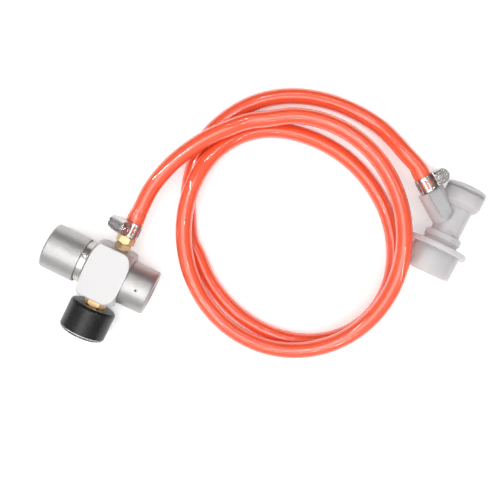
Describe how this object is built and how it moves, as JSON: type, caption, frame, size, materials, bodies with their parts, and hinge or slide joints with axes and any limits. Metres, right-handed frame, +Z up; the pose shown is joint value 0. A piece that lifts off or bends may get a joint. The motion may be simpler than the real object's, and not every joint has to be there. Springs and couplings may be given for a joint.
{
  "type": "mini keg regulator with gas hose",
  "caption": "Small gas regulator with a turning knob, round gauge and cylinder inlet, and a coiled red hose clamped to a ball lock keg disconnect.",
  "frame": {"origin": "middle of the regulator's footprint on the surface it lies on, without the hose and what is on it", "axes": "+X from the knob to the cylinder inlet, +Y from the gauge to the hose barb, +Z up from the surface"},
  "size_m": [0.2313, 0.2023, 0.0358],
  "materials": {
    "block": "bead blasted",
    "bonnet": "turned, satin",
    "knob": "turned, satin",
    "inlet": "turned, satin",
    "inner_steel": "turned",
    "spring_steel": "bright wire",
    "inner_brass": "machined",
    "outlet_brass": "machined, polished",
    "gauge_brass": "machined, polished",
    "sintered_filter": "sintered grains",
    "black_seal": "smooth rubber",
    "white_seal": "smooth, slightly waxy",
    "gauge_case": "black, semi-gloss",
    "gauge_lens": "clear",
    "gauge_dial": "white with a plain printed scale",
    "gauge_needle": "black",
    "hose": "glossy red, slightly see-through",
    "clamp_band": "polished stainless",
    "clamp_housing": "polished stainless",
    "clamp_screw": "zinc plated",
    "disconnect_body": "light grey, satin, slightly see-through",
    "disconnect_cap": "light grey, satin",
    "poppet": "smooth",
    "locking_sleeve": "light grey, satin, slightly see-through",
    "lock_ball": "polished ball"
  },
  "bodies": {
    "regulator": {"body_block": "block", "bonnet": "bonnet", "main_spring": "spring_steel", "valve_seat": "white_seal", "valve_spring": "spring_steel", "inlet_adapter": "inlet", "inlet_filter": "sintered_filter", "inlet_pin": "inner_brass", "inlet_seal": "white_seal", "outlet_fitting": "outlet_brass", "gauge_stem": "gauge_brass", "gauge_case": "gauge_case", "gauge_lens": "gauge_lens", "gauge_dial": "gauge_dial", "gauge_sector_pin": "spring_steel", "gauge_plate": "inner_brass", "bourdon_tube": "inner_brass", "hose_lead": "hose", "hose_coil": "hose", "hose_tail": "hose", "inlet_clamp_band": "clamp_band", "inlet_clamp_housing": "clamp_housing", "tail_clamp_band": "clamp_band", "tail_clamp_housing": "clamp_housing", "disconnect_body": "disconnect_body", "disconnect_cap": "disconnect_cap", "cap_seal": "black_seal", "poppet_spring": "spring_steel", "sleeve_spring": "spring_steel", "retaining_ring": "spring_steel"},
    "button": {"spring_button": "inner_steel"},
    "knob": {"adjusting_knob": "knob"},
    "piston": {"piston": "inner_brass", "piston_o_ring": "black_seal"},
    "valve": {"valve_pin": "inner_brass"},
    "needle": {"gauge_needle": "gauge_needle"},
    "sector": {"gauge_sector": "inner_brass"},
    "inlet_clamp_screw": {"inlet_clamp_screw": "clamp_screw"},
    "tail_clamp_screw": {"tail_clamp_screw": "clamp_screw"},
    "locking_sleeve": {"locking_sleeve": "locking_sleeve"},
    "poppet": {"poppet": "poppet", "poppet_seal": "black_seal"},
    "ball_1": {"lock_ball_1": "lock_ball"},
    "ball_2": {"lock_ball_2": "lock_ball"},
    "ball_3": {"lock_ball_3": "lock_ball"},
    "ball_4": {"lock_ball_4": "lock_ball"}
  },
  "joints": [
    {"name": "button_slide", "type": "slide", "parent": "regulator", "child": "button", "axis": [1, 0, 0], "range_m": [0, 0.002], "deforming": ["main_spring"]},
    {"name": "knob_turn", "type": "hinge", "parent": "button", "child": "knob", "pos_m": [-0.02335, 0.0015, 0.0145], "axis": [1, 0, 0], "range_deg": [0, 720]},
    {"name": "piston_slide", "type": "slide", "parent": "regulator", "child": "piston", "axis": [1, 0, 0], "range_m": [0, 0.0006], "stiffness_N_per_m": 500},
    {"name": "valve_slide", "type": "slide", "parent": "regulator", "child": "valve", "axis": [1, 0, 0], "range_m": [0, 0.0006], "stiffness_N_per_m": 500, "deforming": ["valve_spring"]},
    {"name": "needle_turn", "type": "hinge", "parent": "regulator", "child": "needle", "pos_m": [0.00595, -0.0343, 0.0145], "axis": [0, 1, 0], "range_deg": [0, 270]},
    {"name": "sector_turn", "type": "hinge", "parent": "regulator", "child": "sector", "pos_m": [0.00595, -0.0289, 0.0253], "axis": [0, -1, 0], "range_deg": [0, 54]},
    {"name": "inlet_clamp_turn", "type": "hinge", "parent": "regulator", "child": "inlet_clamp_screw", "pos_m": [0.00062, 0.0318, 0.02212], "axis": [0.8192, 0, 0.5736], "continuous": true},
    {"name": "tail_clamp_turn", "type": "hinge", "parent": "regulator", "child": "tail_clamp_screw", "pos_m": [0.16032, 0.14421, 0.0179], "axis": [0, 0, 1], "continuous": true},
    {"name": "sleeve_slide", "type": "slide", "parent": "regulator", "child": "locking_sleeve", "axis": [0, 1, 0], "range_m": [0, 0.003], "stiffness_N_per_m": 800, "springref_m": -0.001, "deforming": ["sleeve_spring"]},
    {"name": "poppet_slide", "type": "slide", "parent": "regulator", "child": "poppet", "axis": [0, 1, 0], "range_m": [0, 0.003], "stiffness_N_per_m": 400, "springref_m": -0.001, "deforming": ["poppet_spring"]},
    {"name": "ball_1_slide", "type": "slide", "parent": "regulator", "child": "ball_1", "axis": [0.7071, 0, 0.7071], "range_m": [0, 0.0009]},
    {"name": "ball_2_slide", "type": "slide", "parent": "regulator", "child": "ball_2", "axis": [-0.7071, 0, 0.7071], "range_m": [0, 0.0009]},
    {"name": "ball_3_slide", "type": "slide", "parent": "regulator", "child": "ball_3", "axis": [-0.7071, 0, -0.7071], "range_m": [0, 0.0009]},
    {"name": "ball_4_slide", "type": "slide", "parent": "regulator", "child": "ball_4", "axis": [0.7071, 0, -0.7071], "range_m": [0, 0.0009]}
  ],
  "couplings": [
    {"joint": "button_slide", "follows": "knob_turn", "m_per_rad": 0.00015915},
    {"joint": "valve_slide", "follows": "piston_slide", "ratio": 1},
    {"joint": "needle_turn", "follows": "sector_turn", "ratio": 5},
    {"joint": "ball_1_slide", "follows": "sleeve_slide", "ratio": 0.3},
    {"joint": "ball_2_slide", "follows": "sleeve_slide", "ratio": 0.3},
    {"joint": "ball_3_slide", "follows": "sleeve_slide", "ratio": 0.3},
    {"joint": "ball_4_slide", "follows": "sleeve_slide", "ratio": 0.3}
  ]
}
